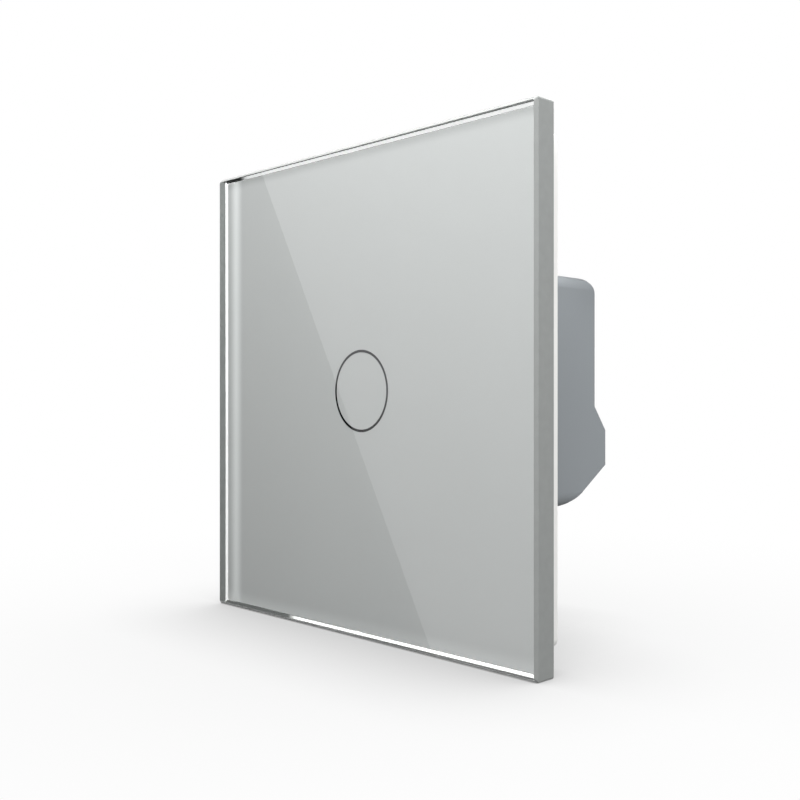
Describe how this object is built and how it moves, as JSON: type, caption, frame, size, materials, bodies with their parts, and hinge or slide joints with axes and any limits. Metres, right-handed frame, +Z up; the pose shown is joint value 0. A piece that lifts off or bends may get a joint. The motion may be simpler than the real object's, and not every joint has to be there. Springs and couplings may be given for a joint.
{
  "type": "wall touch dimmer switch",
  "caption": "Wall dimmer with a square back-printed glass touch panel on a clip-on carrier and a boxed module behind it with a steel plate and rising-cage wire terminals.",
  "frame": {"origin": "centre of the box screw pattern on the wall plane, which is the back of the steel plate", "axes": "+X to the right seen from the room, +Y into the wall, +Z up; the glass faces -Y"},
  "size_m": [0.08, 0.039, 0.08],
  "materials": {
    "panel_glass": "polished clear glass",
    "grey_coat": "light grey ink baked on the glass",
    "mark_ink": "dark ink",
    "tape": "white foam tape",
    "white_plastic": "fine satin moulding",
    "housing_plastic": "fine eroded moulding",
    "clear_plastic": "clear, polished",
    "plate_steel": "zinc plated",
    "screw_steel": "bright zinc",
    "spring_steel": "bright wire",
    "cage_steel": "bright zinc",
    "board": "green lacquer on glass fibre",
    "chip_black": "moulded resin",
    "lamp_blue": "clear resin",
    "lamp_red": "tinted resin",
    "connector_black": "moulded resin",
    "thermal_sheet": "soft silicone sheet",
    "sink_aluminium": "plain rolled",
    "ferrite": "matt ferrite",
    "copper_wire": "lacquered copper wire",
    "film_case": "moulded case",
    "can_sleeve": "sleeved can",
    "fuse_ceramic": "ceramic tube with end caps",
    "varistor_coat": "dipped coat",
    "terminal_plastic": "moulded resin",
    "contact_brass": "stamped brass"
  },
  "bodies": {
    "module": {"base_frame": "white_plastic", "mounting_plate": "plate_steel", "housing_screws": "screw_steel", "rear_housing": "housing_plastic", "light_guide": "clear_plastic", "touch_spring": "spring_steel", "sensor_board": "board", "sensor_chip": "chip_black", "blue_leds": "lamp_blue", "red_leds": "lamp_red", "pin_header": "connector_black", "pin_socket": "connector_black", "power_board": "board", "controller_chip": "chip_black", "triac": "chip_black", "thermal_pad": "thermal_sheet", "heat_sink": "sink_aluminium", "triac_screw": "screw_steel", "choke_core": "ferrite", "choke_winding": "copper_wire", "film_capacitor": "film_case", "electrolytic_capacitor": "can_sleeve", "fuse": "fuse_ceramic", "varistor": "varistor_coat", "terminal_block_1": "terminal_plastic", "contact_bar_1": "contact_brass", "terminal_block_2": "terminal_plastic", "contact_bar_2": "contact_brass", "terminal_block_3": "terminal_plastic", "contact_bar_3": "contact_brass"},
    "panel": {"glass_panel": "panel_glass", "back_print": "grey_coat", "touch_ring": "mark_ink", "adhesive_frame": "tape", "panel_frame": "white_plastic"},
    "clamp_screw_1": {"clamp_screw_1": "screw_steel"},
    "clamp_cage_1": {"clamp_cage_1": "cage_steel"},
    "clamp_screw_2": {"clamp_screw_2": "screw_steel"},
    "clamp_cage_2": {"clamp_cage_2": "cage_steel"},
    "clamp_screw_3": {"clamp_screw_3": "screw_steel"},
    "clamp_cage_3": {"clamp_cage_3": "cage_steel"}
  },
  "joints": [
    {"name": "panel_pull", "type": "slide", "parent": "module", "child": "panel", "axis": [0, -1, 0], "range_m": [0, 0.02]},
    {"name": "clamp_screw_1_turn", "type": "hinge", "parent": "module", "child": "clamp_screw_1", "pos_m": [-0.0096, 0.0285, -0.0103], "axis": [0, -1, 0], "range_deg": [0, 1728.1]},
    {"name": "clamp_cage_1_lift", "type": "slide", "parent": "module", "child": "clamp_cage_1", "axis": [0, 1, 0], "range_m": [0, 0.0024]},
    {"name": "clamp_screw_2_turn", "type": "hinge", "parent": "module", "child": "clamp_screw_2", "pos_m": [0, 0.0285, -0.0103], "axis": [0, -1, 0], "range_deg": [0, 1728.1]},
    {"name": "clamp_cage_2_lift", "type": "slide", "parent": "module", "child": "clamp_cage_2", "axis": [0, 1, 0], "range_m": [0, 0.0024]},
    {"name": "clamp_screw_3_turn", "type": "hinge", "parent": "module", "child": "clamp_screw_3", "pos_m": [0.0096, 0.0285, -0.0103], "axis": [0, -1, 0], "range_deg": [0, 1728.1]},
    {"name": "clamp_cage_3_lift", "type": "slide", "parent": "module", "child": "clamp_cage_3", "axis": [0, 1, 0], "range_m": [0, 0.0024]}
  ],
  "couplings": [
    {"joint": "clamp_screw_1_turn", "follows": "clamp_cage_1_lift", "rad_per_m": 12566},
    {"joint": "clamp_screw_2_turn", "follows": "clamp_cage_2_lift", "rad_per_m": 12566},
    {"joint": "clamp_screw_3_turn", "follows": "clamp_cage_3_lift", "rad_per_m": 12566}
  ]
}
